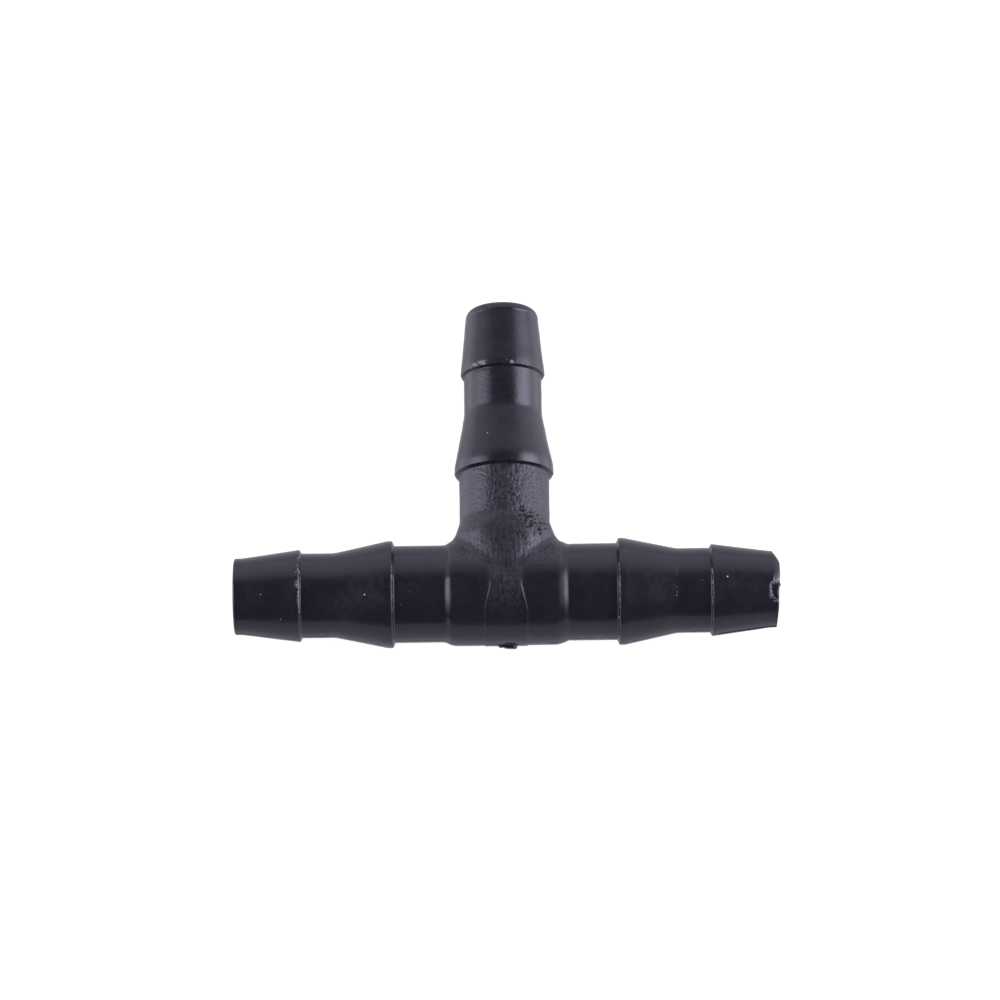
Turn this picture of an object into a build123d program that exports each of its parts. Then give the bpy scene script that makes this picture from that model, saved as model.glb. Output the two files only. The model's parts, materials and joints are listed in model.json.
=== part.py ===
from build123d import *
import os
from dataclasses import dataclass
from math import hypot

# Barbed tee for 4/7 mm micro-irrigation hose: one injection moulding in black polypropylene.
#
# Frame, in millimetres: the origin is where the three bores meet, inside the hub. The run lies
# along X, the branch points along +Y, and the mould parts on the XY plane, so that the tee lies
# flat on a bench with +Z up.


@dataclass
class Arm:
    """One spigot's outline, from the hub's centre to the tip. Places are distances along its axis."""

    reach: float  # the end face
    tip_round: float  # rounding of the end face's rim
    tip_radius: float  # the short plain land behind that rim
    tip_land: float  # length of that land, with its rounding
    small_crest: float  # the barb nearest the tip
    small_radius: float
    waist_radius: float  # plain neck between the two barbs
    cone_foot: float  # where the large barb's cone leaves the neck
    large_crest: float  # the barb that grips and seals the hose
    large_radius: float
    barrel_radius: float  # plain barrel where the hose stops
    shoulder: float  # length of the fall from the hub to the barrel
    hub_end: float  # where that fall starts
    hub_radius: float


RUN = Arm(
    reach=15.5,
    tip_round=0.12,
    tip_radius=2.19,
    tip_land=0.42,
    small_crest=11.76,
    small_radius=2.64,
    waist_radius=2.42,
    cone_foot=9.75,
    large_crest=6.46,
    large_radius=3.06,
    barrel_radius=2.77,
    shoulder=0.60,
    hub_end=2.95,
    hub_radius=3.00,
)
BRANCH = Arm(
    reach=17.1,
    tip_round=0.42,
    tip_radius=2.09,
    tip_land=0.46,
    small_crest=13.12,
    small_radius=2.42,
    waist_radius=2.23,
    cone_foot=10.70,
    large_crest=7.08,
    large_radius=2.83,
    barrel_radius=2.565,
    shoulder=1.05,
    hub_end=3.12,
    hub_radius=2.95,
)

# Shared by every arm
BORE_RADIUS = 1.35
BORE_CHAMFER = 0.10
BARB_BACK = 0.12  # length along the axis of a barb's slanted back face
CREST_LAND = 0.30  # plain land on the large barb, which the hose's wall seals on

# Roundings of the outline
SHOULDER_ROUND = 0.90
ROOT_ROUND = 0.08
CREST_ROUND = 0.08
LAND_ROUND = 1.00
FOOT_ROUND = 1.80

SEAM_FILLET = 0.40  # where the branch's collar runs into the hub

# Stub left where the gate was broken off, opposite the branch
GATE_RADIUS = 0.60
GATE_PROUD = 0.20  # how far it stands out from the hub

# Turns an arm so that the seam line of its turned faces is underneath, clear of fillet and gate
SEAM_UNDERNEATH = (-90, 0, 0)

# Used only to pick edges
TOUCH = 0.001
SEAM_TOLERANCE = 0.15


def arm_outline(arm: Arm) -> Wire:
    """The outer line of an arm in the XY plane, along +X, from the hub's centre to the bore's mouth."""
    corners = [
        (arm.hub_end, arm.hub_radius, SHOULDER_ROUND),
        (arm.hub_end + arm.shoulder, arm.barrel_radius, SHOULDER_ROUND),
        (arm.large_crest - BARB_BACK, arm.barrel_radius, ROOT_ROUND),
        (arm.large_crest, arm.large_radius, CREST_ROUND),
        (arm.large_crest + CREST_LAND, arm.large_radius, LAND_ROUND),
        (arm.cone_foot, arm.waist_radius, FOOT_ROUND),
        (arm.small_crest - BARB_BACK, arm.waist_radius, ROOT_ROUND),
        (arm.small_crest, arm.small_radius, CREST_ROUND),
        (arm.reach - arm.tip_land, arm.tip_radius, FOOT_ROUND),
        (arm.reach, arm.tip_radius, arm.tip_round),
    ]
    start = (0, arm.hub_radius)
    end = (arm.reach, 0)
    points = [start, *[(along, radius) for along, radius, _ in corners], end]
    return Wire(FilletPolyline(*points, radius=[rounding for _, _, rounding in corners]).edges())


def solid_arm(arm: Arm) -> Solid:
    """An arm turned about its axis, along +X, with no bore yet."""
    outline = arm_outline(arm)
    close = Wire(Polyline((arm.reach, 0), (0, 0), (0, arm.hub_radius)).edges())
    turned = revolve(Face(Wire(outline.edges() + close.edges())), Axis.X, 360)
    return Rot(*SEAM_UNDERNEATH) * turned


def gate_stub() -> Part:
    """The gate's stub, a short disc that stands proud of the hub along -Y."""
    height = RUN.hub_radius + GATE_PROUD - BORE_RADIUS
    stub = Cylinder(GATE_RADIUS, height, align=(Align.CENTER, Align.CENTER, Align.MAX))
    return Pos(0, -BORE_RADIUS, 0) * Rot(-90, 0, 0) * stub


def is_seam(edge: Edge) -> bool:
    """True for the curves where the branch's collar meets the run's hub."""
    middle = edge.position_at(0.5)
    on_collar = abs(hypot(middle.X, middle.Z) - BRANCH.hub_radius) < SEAM_TOLERANCE
    on_hub = abs(hypot(middle.Y, middle.Z) - RUN.hub_radius) < SEAM_TOLERANCE
    return on_collar and on_hub and middle.Y > 0


def bores() -> Part:
    """The water's way through: one bore along the run, and one from it up the branch."""
    along_run = Rot(0, 90, 0) * Cylinder(BORE_RADIUS, 2 * RUN.reach)
    up_branch = Cylinder(BORE_RADIUS, BRANCH.reach, align=(Align.CENTER, Align.CENTER, Align.MIN))
    return along_run + Rot(-90, 0, 0) * up_branch


def is_mouth(edge: Edge) -> bool:
    """True for a bore's rim in a tip's end face."""
    if edge.geom_type != GeomType.CIRCLE or abs(edge.radius - BORE_RADIUS) > TOUCH:
        return False
    centre = edge.arc_center
    return abs(abs(centre.X) - RUN.reach) < TOUCH or abs(centre.Y - BRANCH.reach) < TOUCH


def tee_body() -> Part:
    """The whole moulding."""
    run = solid_arm(RUN)
    blank = run + mirror(run, Plane.YZ) + Rot(0, 0, 90) * solid_arm(BRANCH)
    blank = fillet(blank.edges().filter_by(is_seam), SEAM_FILLET)
    hollow = blank + gate_stub() - bores()
    return chamfer(hollow.edges().filter_by(is_mouth), BORE_CHAMFER)


os.makedirs("parts", exist_ok=True)
export_step(tee_body(), "parts/tee_body.step")
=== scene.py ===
import json
import math
from collections import namedtuple
from functools import partial
from types import SimpleNamespace

import bmesh
import bpy
import numpy as np
from mathutils import Matrix, Vector, noise

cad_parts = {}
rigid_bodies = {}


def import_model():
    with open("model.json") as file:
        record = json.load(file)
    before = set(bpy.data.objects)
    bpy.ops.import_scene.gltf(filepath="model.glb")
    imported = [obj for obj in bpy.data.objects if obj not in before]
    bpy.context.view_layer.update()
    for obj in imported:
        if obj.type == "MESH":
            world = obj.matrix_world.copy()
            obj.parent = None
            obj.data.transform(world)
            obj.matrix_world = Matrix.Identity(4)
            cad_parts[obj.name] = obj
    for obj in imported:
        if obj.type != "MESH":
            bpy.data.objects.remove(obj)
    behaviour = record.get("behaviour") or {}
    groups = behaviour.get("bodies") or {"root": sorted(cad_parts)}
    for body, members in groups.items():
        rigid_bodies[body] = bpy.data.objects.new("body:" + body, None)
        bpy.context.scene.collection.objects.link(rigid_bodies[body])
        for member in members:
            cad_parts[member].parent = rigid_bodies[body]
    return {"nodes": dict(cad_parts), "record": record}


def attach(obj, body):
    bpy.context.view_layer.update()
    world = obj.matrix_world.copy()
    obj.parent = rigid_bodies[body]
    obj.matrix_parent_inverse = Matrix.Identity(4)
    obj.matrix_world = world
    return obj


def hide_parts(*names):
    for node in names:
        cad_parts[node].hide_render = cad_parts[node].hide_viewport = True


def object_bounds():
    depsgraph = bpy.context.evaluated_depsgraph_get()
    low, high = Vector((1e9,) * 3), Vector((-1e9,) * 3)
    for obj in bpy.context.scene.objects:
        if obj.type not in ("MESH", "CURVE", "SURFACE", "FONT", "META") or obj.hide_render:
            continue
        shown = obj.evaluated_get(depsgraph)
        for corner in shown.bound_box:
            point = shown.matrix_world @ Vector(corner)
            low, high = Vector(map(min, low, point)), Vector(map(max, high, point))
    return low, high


# Looks for a black barbed tee connector, moulded in one piece.
#
# The run lies along X, the branch points along +Y, and the mould parts on the XY plane. The outline that
# each arm is turned from is read from the CAD node's own points. Lengths are in millimetres where their
# comment doesn't say otherwise. In the values below, turns are degrees about an arm's axis, from the side
# that faces up: a run arm's grow towards the branch, and the branch's towards the left.

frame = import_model()
cad_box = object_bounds()

MM = 0.001
NODE = "tee_body"
BODY = "root"
BORE = next(m for m in frame["record"]["mounts"] if m["name"] == "run_bore")["dims"]["r_mm"]
WALL = 1.15 * BORE  # a radius between the bores and the outside

Span = namedtuple("Span", "start end")
Stretch = namedtuple("Stretch", "start end soft")  # it fades out past its ends
Bumps = namedtuple("Bumps", "height size seed")  # one layer of smooth random bumps

# ---- values: the plain skin

SIDES = 144  # columns around an arm
HALF = SIDES // 2
HUB_ROWS = 40
ROW_STEP = 0.20  # longest row on an arm
ROW_LEAST = 0.012  # rows closer than this are merged
ROW_HOLD = 0.025  # rows this close to a bend keep the straight stretch beside it straight in shading
FACE_ROWS = 5  # across a tip's end face
BORE_ROWS = 11  # along an arm's bore
BORE_CROWD = 1.6  # above 1, they lie closer together towards the bore's mouth
SEAM_CROWD = 2.4  # how many times as many columns again lie at the parting plane
SEAM_SPREAD = 0.10  # over what share of a quarter turn
CURVE_STEPS = 2000  # in a curve that is measured along

DECIMALS = 3  # kept of the CAD's points
LEAST_STEP = 0.001  # between two places on an outline, so that its slope is finite
BARB_SLOPE = 0.8  # an outline rises this steeply only on a barb's back face
CROWN = 0.25  # how far the branch's top and bottom lines reach sideways, as a share of its radius

MOUTH_CHAMFER = 0.10  # length and depth of the bevel at a bore's mouth
SEAM_ROUND = 0.40  # radius where collar and hub meet squarely
LEAST_ANGLE = math.radians(8)  # collar and hub are taken to meet at this angle at least
RUN_HUB = 3.9  # past this distance the run arms are plain turned shapes
BRANCH_HUB = 4.3
SETTLE_ROUNDS = 6
SETTLE_NUDGE = 1e-4
LEAST_SLOPE = 0.05  # squared; keeps a point from jumping away on a slight slope
TOUCH = 0.001  # from an end face
SEED_STEPS = (17.3, 5.1, 11.7)  # how far apart in the noise two neighbouring seeds look

# ---- values: closer mesh where there is fine detail

BY_STUB_Y = -2.6  # how far each zone reaches past its detail
BY_STUB_RADIUS = 0.85
BY_PAD_EDGE_Y = 0.5
BY_PAD_EDGE = 0.10
BY_TIP = 0.75
BY_TIP_TURN = 6  # a zone's middle
BY_TIP_ARC = 56  # and how far it reaches each way
BY_LUMPS = Span(-0.16, 0.34)  # past the branch's small crest
BY_LUMPS_TURN = 20
BY_LUMPS_ARC = 40
BY_TORN = Span(-0.10, 0.30)  # past the left small crest
BY_TORN_ARC = 50

# ---- values: moulding marks

WANDER = (Bumps(0.0055, 1.8, 1), Bumps(0.0022, 0.6, 2))

FLASH_HALF = 0.045  # half the flash line's width
FLASH_HEIGHT = 0.022
FLASH_BUMPS = (Bumps(0.016, 0.8, 3), Bumps(0.008, 0.25, 4))
FLASH_THICKER = 0.035  # and how much higher it is under the right tip
FLASH_THICK = Stretch(12.2, 15.3, 0.4)

PAD_HEIGHT = 0.040  # of the gate's pad, a step round the gate's side of the hub
PAD_HALF = 0.90  # half its width on top
PAD_WIDER = 0.33  # how much more each half has lower down
PAD_EDGE = Span(-0.02, 0.05)
PAD_WIDENS = Span(2, 38)  # the pad's turns grow towards the gate
PAD_BEGINS = Span(-6, 10)
PAD_STOPS = Span(192, 182)

STUB_X = 0.08  # the middle of what is left of the gate
STUB_Z = -0.33
STUB_HALF_WIDE = 0.53
STUB_HALF_TALL = 0.24
STUB_EDGE = Span(1.08, 0.85)
STUB_RAGGED = Bumps(0.14, 0.3, 5)
STUB_HEIGHT = 0.10
STUB_STEP = 0.09  # how much higher the stub is on its right
STUB_STEP_SPAN = Span(-0.30, 0.15)
STUB_BUMPS = Bumps(0.03, 0.16, 6)

PITS = 70
PIT_SEED = 5
PIT_START = (0.98, 4.20)  # the patch of pits runs aslant, low on the right of the branch
PIT_END = (1.95, 3.05)
PIT_SPREAD = 0.30
PIT_CROWD = 0.7  # below 1, the pits lie closer together towards the patch's end
PIT_FARTHEST = 4 * PIT_SPREAD  # no pit reaches farther
PIT_RADII = Span(0.06, 0.13)
PIT_DROPS = Span(0.015, 0.050)
PIT_RIM = 0.25  # height of a pit's raised rim, as a share of the pit's depth
PIT_RIM_AT = 1.7  # its place and half width, as shares of the pit's radius
PIT_RIM_HALF = 0.5
PIT_DEEPEST = -0.09
PIT_HIGHEST = 0.02
PIT_FULL_SHADE_DEPTH = 0.035  # painted shade: the depth from which a pit is painted fully dark
PATCH_RADIUS = 2.4 * PIT_SPREAD
CREASE_START = (0.93, 2.80)  # a short painted shadow line between the collar's dull dome and its right side, standing for a crease that isn't cut into the mesh
CREASE_END = (1.40, 2.08)
CREASE_HALF = 0.07
CREASE_SHADE = 0.8

SHOULDER_TOP = 3.15
SHOULDER_FOOT = 3.45
SHOULDER_SHIFT = 0.17  # how much farther out the right shoulder's steep part is
SHOULDER_HALF = Span(0.09, 0.14)  # half widths on the left and on the right
SHOULDER_HEIGHT = 0.017
SHOULDER_BUMPS = Bumps(0.006, 0.25, 14)
SHOULDER_CLEAR = 3.0  # nothing nearer the branch's axis is sharpened

LIP_BACK = 0.46  # the lip line is this far behind the branch's end
LIP_HALF = 0.035
LIP_HEIGHT = 0.016
LIP_BUMPS = Bumps(1, 0.4, 13)

Fullness = namedtuple("Fullness", "height rise fall")
BRANCH_FULL = (  # past the branch's large crest, and past its small one
    Fullness(0.036, Span(0.22, 0.62), Span(2.40, 0.60)),
    Fullness(0.014, Span(0.05, 0.35), Span(1.40, 0.40)),
)

TORN_SPAN = Stretch(-0.04, 0.16, 0.06)  # past the left small crest
TORN_ARC = Stretch(-40, 40, 8)
TORN_BUMPS = Bumps(0.042, 0.13, 7)
TORN_SUNK = 0.006

LUMP_SPAN = Stretch(-0.12, 0.26, 0.08)  # past the branch's small crest
LUMP_LEFT = Stretch(24, 50, 5)
LUMP_MIDDLE = Stretch(-17, -5, 3)
LUMP_BUMPS = Bumps(0.030, 0.15, 8)
LUMP_LEAST = -0.009

# ---- values: the right tip

CUT_DEPTH = 0.38  # how much the knife took off where it ran off, at the branch's side
CUT_START = 1.10
CUT_OVER = 0.9
CUT_MOST = 1.2  # times CUT_DEPTH
CUT_LOW_DEPTH = 0.07  # and at the gate's side
CUT_LOW = Span(-1.4, -2.2)
CUT_TAKEN = 0.9  # the share of what is past the cut that goes, so that rows stay apart

BEVEL_LENGTH = 0.38
BEVEL_BUMPS = Bumps(0.06, 0.5, 17)
BEVEL_DEPTH = 0.13
BEVEL_ARC = Stretch(-4, 60, 8)
BEVEL_GLINT_DEPTHS = Span(0.02, 0.05)  # depths over which it turns pale: a painted highlight on the bevel

LONGER = 0.09  # how much farther the tip's upper side reaches
LONGER_SIDE = Span(-0.9, 0.5)
LONGER_OVER = 1.2  # the stretch that is drawn out

RIM_FADE = Span(1.55, 2.05)  # radii over which the damage grows, from the bore to the rim
CHIP_TURN = -16
CHIP_REACH = 0.58  # how far the chip runs back from the tip
CHIP_HALF = 0.76  # half its width round the rim
CHIP_ROUGH = (Bumps(0.13, 0.35, 9), Bumps(0.10, 0.12, 12))
CHIP_EDGE = Span(1.15, 0.60)
CHIP_DEPTH = 0.052
CHIP_BUMPS = Bumps(0.5, 0.14, 10)
CHIP_BACK = 1.0  # nothing is chipped farther back than this
CRUMB_TURN = -9
CRUMB_RADIUS = 2.05  # the crumb's distance from the axis
CRUMB_HALF_ARC = 0.09
CRUMB_HALF = 0.12
CRUMB_OUT = 0.05
CRUMB_ALONG = 0.08

# ---- values: wear, with painted highlights

CREST_BACK = 0.05  # the scuff lines and painted highlights on the run's crests lie this far down their back faces
CREST_HALF = 0.045
CREST_WORN = 0.10
CREST_TOP_GLINT = 0.27  # and how much more on top: a painted highlight
CREST_GLINT_ARC = Stretch(-32, 14, 14)
BRANCH_CREST_HALF = 0.03
BRANCH_CREST_WORN = 0.16
CREST_BUMPS = Bumps(0.5, 0.5, 11)

CHIP_RIM = 0.86  # where the chip's pale rim is, as a share of the chip
CHIP_RIM_HALF = 0.16
CHIP_RIM_BACK = 0.8
CHIP_RIM_RADIUS = 1.9
CHIP_RIM_WORN = 0.42
CRUMB_WORN = 0.6

SCUFF_SPAN = Stretch(0.05, 0.22, 0.08)  # past the branch's small crest
SCUFF_LEFT = Stretch(26, 50, 6)
SCUFF_LEFT_WORN = 0.46
SCUFF_MIDDLE = Stretch(-15, -6, 3)
SCUFF_MIDDLE_WORN = 0.33
SCUFF_LEAST = 0.35
SCUFF_BUMPS = Bumps(1, 0.20, 16)
SCUFF_KEEP = Span(-0.25, 0.25)

RAGGED_SPAN = Stretch(-0.02, 0.16, 0.06)  # past the left small crest
RAGGED_ARC = Stretch(-26, 38, 8)
RAGGED_BUMPS = Bumps(1, 0.22, 18)
RAGGED_KEEP = Span(-0.2, 0.3)
# pale scuff marks, with painted highlights in spots
RAGGED_SCUFF_AND_GLINT = 0.34

FOOT_X = 9.70  # a thin scuff at the foot of the right large barb's cone
FOOT_HALF = 0.04
FOOT_ARC = Stretch(-33, 10, 12)
FOOT_WORN = 0.25

Smudge = namedtuple("Smudge", "x turn radius")
SMUDGES = (Smudge(-9.20, -35, 0.55), Smudge(8.90, -8, 0.60), Smudge(12.93, -2, 0.45))
SMUDGE_PALE = 0.55

STREAKED_HALF = 0.85  # half the width of the streaked patch on top of the hub
STREAKED_WIDER = 0.75  # and how much wider each half gets on the collar
STREAKED_WIDENS = Span(1.2, 2.8)
STREAKED_EDGE = Span(0.35, -0.25)
STREAKED_SPAN = Stretch(-0.5, 3.6, 0.7)
# a painted highlight along the gate pad's edges, lower round the hub
PAD_GLINT_HALF = 0.05
PAD_GLINT_ARC = Stretch(8, 100, 12)
PAD_EDGE_GLINT = 0.5
PAD_GLINT_TOP = 1.0  # the pad's edge gets no painted highlight nearer the branch than this
LIP_FADE = Span(0.50, 0.40)  # behind the branch's end
LIP_PALE = 0.6

DOME_ARC = 28  # the dull dome's half width where it is widest
DOME_TOP = 3.95
DOME_LENGTH = 0.9
DOME_EDGE = 3
DOME_BUMPS = Bumps(4, 0.2, 15)
DOME_RISE = Span(1.3, 2.9)
DOME_DULL = 0.85

BARREL_SPAN = Span(3.4, 3.9)
BARREL_STOP = 0.15  # the barrel's grain fades out this far before the large crest
BARREL_CLEAR = 3.1  # the grain stops this far from the branch's axis
BARREL_LEFT = 0.45  # how coarse its left side is, beside its right
BARREL_ACROSS = Span(-0.9, 0.3)
COLLAR_SPAN = Stretch(1.5, 3.9, 1.0)
COLLAR_CLEAR = 3.2
COLLAR_COARSE = 0.65
HUB_SPAN = Stretch(-1.2, 1.2, 0.9)
HUB_ACROSS = Span(1.1, 0.6)
HUB_COARSE = 0.55
UPPER_COARSE = 0.08  # the branch past its large crest
UPPER_OVER = 1
STUB_COARSE_RADIUS = 0.7
BORE_COARSE = 0.8

# ---- values: black plastic

PLASTIC = (0.0083, 0.0081, 0.0112, 1)
PALE_PLASTIC = (0.0120, 0.0116, 0.0160, 1)
GRAIN_PALE = (0.0330, 0.0315, 0.0400, 1)
# pale streaks, smudges and lip, and painted highlights on the pad's edges and the right tip's bevel
CHALK_AND_GLINT = (0.0270, 0.0260, 0.0330, 1)
# painted shade, in the pits and along the crease
PIT_SHADE_COLOUR = (0.0050, 0.0050, 0.0060, 1)
# scuff marks, and painted highlights on crest tops and a ragged edge
SCUFF_AND_GLINT = (0.17, 0.165, 0.18, 1)
DUST = (0.55, 0.55, 0.56, 1)
SHEEN = (0.88, 0.86, 1.0, 1)
REFRACTION = 1.5

PATCHY = Span(0.45, 0.95)  # each of these spans runs from none to all of its colour
FLECKED = Span(0.75, 1.10)
CHALKED = Span(0.42, 0.80)
CHALKED_LEAST = 0.12
CLOUDY_SHARE = 0.4
STREAK_SHARE = 0.8
SCUFFED_SPOTS = Span(0.94, 1.20)
SCUFFED_FINE = 0.9
SCUFFED_CLOUDY = 0.5
SCUFFED_WORN = Span(0.02, 0.25)

BROAD = 1.4  # sizes of the material's random bumps
CLOUDY = 0.35
GRAIN = 0.19
STREAK = 0.13
STREAK_LONG = 6  # times as long along the branch
FINE = 0.11
DETAILED = 3.0

FINE_HEIGHT = 0.0016
CLOUDY_HEIGHT = 0.0030
GRAIN_HEIGHT = 0.085
STREAK_HEIGHT = 0.035
SCUFF_HEIGHT = 0.012
DUST_HEIGHT = 0.02

ROUGH = Span(0.185, 0.245)
ROUGH_CLOUDY = Span(-0.02, 0.03)
ROUGH_GRAIN = Span(0.06, 0.18)
ROUGH_DULL = 0.12
ROUGH_SCUFF = 0.25
ROUGH_DUST = 0.5
MIDDLING = Span(0.3, 0.7)  # where most of a random bump's values lie

MIRROR_PLAIN = 0.5
MIRROR_PIT = 0.15
MIRROR_DULL = 0.45

Speck = namedtuple("Speck", "place radius")
DUST_SPECKS = (
    Speck((-7.98, -0.77, 2.70), 0.055),
    Speck((-13.89, -0.54, 2.30), 0.035),
    Speck((12.56, 0.05, 2.53), 0.050),
    Speck((-0.91, 8.89, 2.40), 0.045),
    Speck((-12.78, -1.86, 1.68), 0.030),
    Speck((6.38, -2.12, 2.00), 0.065),
    Speck((9.67, -0.94, 2.23), 0.040),
)
DUST_CELLS = 1.6  # cells to the millimetre, each with one tiny speck at most
DUST_CELL_EDGE = Span(0.045, 0.02)
DUST_PATCH = 1.3
DUST_KEEP = Span(0.56, 0.60)
DUST_FAINT = 0.35

# ---- values: floor, light and camera

COOL = (0.90, 0.88, 1.0)
WHITE = (1, 1, 1, 1)
FLOOR_SEEN = 0.93  # glow of the floor as the camera sees it
FLOOR_WHITE = (0.22, 0.22, 0.22, 1)
FLOOR_GLOSS = 0.48  # glow of the floor as the tee reflects it, before and behind the tee
FLOOR_SIDES = 1.4  # and how much brighter at its sides
FLOOR_SIDES_FADE = Span(0.55, 0.9)
FLOOR_FRONT_FADE = Span(-0.33, -0.50)
FLOOR_FRONT = 0.5
FLOOR_HALF = 1.2  # half the floor's side, in metres

ABOVE = 0.16  # radiance of the dark room overhead and behind the camera
BEHIND = 0.98  # how much brighter the far wall is
BEHIND_FADE = Span(math.radians(21), math.radians(57))
LEFT_BOX = 4.6
LEFT_BOX_END = Span(0.37, 0.30)
RIGHT_BOX = 6.0
RIGHT_BOX_END = Span(0.58, 0.28)
BOX_MIDDLE = 0.1  # the boxes fade into each other this far from straight overhead
BOX_NEAR_END = Span(-0.75, -0.10)
BOX_TOP = Span(math.radians(30), math.radians(54))
BOX_FOOT = Span(math.radians(68), math.radians(90))
BOX_FOOT_LIGHT = 0.45

ELEVATION = math.radians(72.3)
ROLL = math.radians(0.83)
DISTANCE = 234.5 * MM
FIELD = math.radians(13.9)
AIM_UP = 5.32 * MM
AIM_LEFT = 0.33 * MM
NEAR_CLIP = 0.01  # in metres

# ---- curves


def smooth(low, high, value):
    """0 up to low, 1 past high, and smooth in between. low may be the higher one."""
    share = np.clip((value - low) / (high - low), 0, 1)
    return share * share * (3 - 2 * share)


def between(low, high, soft, value):
    """1 from low to high, and 0 past them by soft."""
    return smooth(low - soft, low, value) * smooth(high + soft, high, value)


def bell(offset, half):
    """1 at no offset, about a third at half, and almost 0 at twice half."""
    return np.exp(-((offset / half) ** 2))


def blend(low, high, share):
    return low + (high - low) * share


def walked_along(line):
    """How far each point of a line is from its first one, along the line."""
    steps = np.linalg.norm(np.diff(line, axis=0), axis=1)
    return np.concatenate([[0], np.cumsum(steps)])


# ---- outlines, read from the CAD node


class Outline:
    """The outside of an arm: radius against distance from the hub's centre, along the arm's axis."""

    def __init__(self, along, radius):
        pairs = np.unique(np.round(np.stack([along, radius], axis=1), DECIMALS), axis=0)
        self.along, self.radii = pairs.T
        self.reach = self.along[-1]
        self.end_radius = self.radii[-1]
        self.crests = self.barb_crests()

    def radius(self, along):
        return np.interp(along, self.along, self.radii)

    def barb_crests(self):
        """Where the outline jumps up to a barb, going from the hub to the tip."""
        rise = np.diff(self.radii) / np.maximum(np.diff(self.along), LEAST_STEP)
        steep = np.flatnonzero(rise > BARB_SLOPE)
        last = [number for number in steep if number + 1 not in steep]
        return [self.along[number + 1] for number in last]

    def stations(self, start):
        """Places of the rows from start to the tip: every bend of the outline, with long gaps divided."""
        walked = walked_along(np.stack([self.along, self.radii], axis=1))
        rows = [np.interp(start, self.along, walked)]
        for bend in walked[self.along > start]:
            gap = bend - rows[-1]
            if gap < ROW_LEAST and bend < walked[-1]:
                continue
            if gap > 4 * ROW_HOLD:
                rows.append(rows[-1] + ROW_HOLD)
                parts = math.ceil((gap - 2 * ROW_HOLD) / ROW_STEP)
                rows += list(np.linspace(rows[-1], bend - ROW_HOLD, parts + 1)[1:])
            rows.append(bend)
        return np.interp(rows, walked, self.along)


def cad_points():
    """The CAD node's points in millimetres."""
    mesh = frame["nodes"][NODE].data
    flat = np.empty(len(mesh.vertices) * 3)
    mesh.vertices.foreach_get("co", flat)
    return flat.reshape(-1, 3) / MM


def read_outlines():
    """The outline of a run arm and of the branch, each from points that the other arm doesn't touch."""
    x, y, z = cad_points().T
    run_radius, branch_radius = np.hypot(y, z), np.hypot(x, z)
    below = (y < 0) & (np.abs(x) > BORE / 2) & (run_radius > WALL)
    crown = (np.abs(x) < CROWN * branch_radius) & (y > WALL) & (branch_radius > WALL)
    return Outline(np.abs(x[below]), run_radius[below]), Outline(y[crown], branch_radius[crown])


RUN, BRANCH = read_outlines()
HUB_RADIUS = RUN.radii[0]
COLLAR_RADIUS = BRANCH.radii[0]

# ---- the plain skin around the hub


def skin(points):
    """Height of points over the plain skin: hub and collar, with the seam between them rounded."""
    x, y, z = points.T
    run_radius, branch_radius = np.hypot(y, z), np.hypot(x, z)
    over_run = run_radius - RUN.radius(np.abs(x))
    over_branch = np.where(y > 0, branch_radius - BRANCH.radius(y), np.inf)
    cosine = np.clip(z * z / (run_radius * branch_radius), -1, math.cos(LEAST_ANGLE))
    half_angle = np.arccos(cosine) / 2
    ball = SEAM_ROUND * math.sin(math.pi / 4) / np.sin(half_angle)
    # A ball rolls along the seam. Both heights are taken from the skins that its centre stays on
    run, branch = over_run - ball, np.where(y > 0, over_branch, ball) - ball
    in_seam = (y > 0) & (branch * cosine > run) & (run * cosine > branch)
    off_line = np.maximum(run**2 + branch**2 - 2 * run * branch * cosine, 0) / (1 - cosine**2)
    return np.where(in_seam, ball - np.sqrt(off_line), np.minimum(over_run, over_branch))


def settle(points):
    """Moves points on to the plain skin."""
    points = points.copy()
    for _ in range(SETTLE_ROUNDS):
        height = skin(points)
        nudged = [skin(points + SETTLE_NUDGE * axis) for axis in np.eye(3)]
        slope = np.stack([near - height for near in nudged], axis=1) / SETTLE_NUDGE
        points -= height[:, None] * slope / np.maximum((slope**2).sum(axis=1), LEAST_SLOPE)[:, None]
    return points


# ---- rings, seams and arms


def column_turns():
    """Where the columns of half a ring lie, from 0 to 1, closer together at the parting plane."""
    fine = np.linspace(-1, 1, 2 * CURVE_STEPS + 1)
    crowd = 1 + SEAM_CROWD * bell(fine, SEAM_SPREAD)
    total = np.concatenate([[0], np.cumsum((crowd[1:] + crowd[:-1]) / 2)])
    return (np.interp(np.linspace(0, total[-1], HALF + 1), total, fine) + 1) / 2


TURNS = column_turns()  # shares of a half turn


def ring(first, second):
    """A closed ring of values from those of two half rings that share their ends."""
    return np.concatenate([first, second[1:-1]])


RING = ring(TURNS * math.pi, math.pi + TURNS * math.pi)


def on_run(side, along, turn, radius):
    """A point of a run arm: turn 0 is the top of the lying tee, and a quarter turn is the branch's side."""
    return np.stack([side * along + 0 * turn, radius * np.sin(turn), radius * np.cos(turn)], axis=-1)


def on_branch(along, turn, radius):
    """A point of the branch: turn 0 is the top of the lying tee, and a quarter turn is the left side."""
    return np.stack([-radius * np.sin(turn), along + 0 * turn, radius * np.cos(turn)], axis=-1)


def seam_points(side):
    """The seam between a run arm and the branch, from the top of the lying tee to its underside."""
    turn = np.linspace(0, math.pi, CURVE_STEPS + 1)
    x, z = side * COLLAR_RADIUS * np.sin(turn), COLLAR_RADIUS * np.cos(turn)
    line = np.stack([x, np.sqrt(HUB_RADIUS**2 - z**2), z], axis=1)
    walked = walked_along(line)
    return np.stack([np.interp(TURNS * walked[-1], walked, coordinate) for coordinate in line.T], axis=1)


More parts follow.
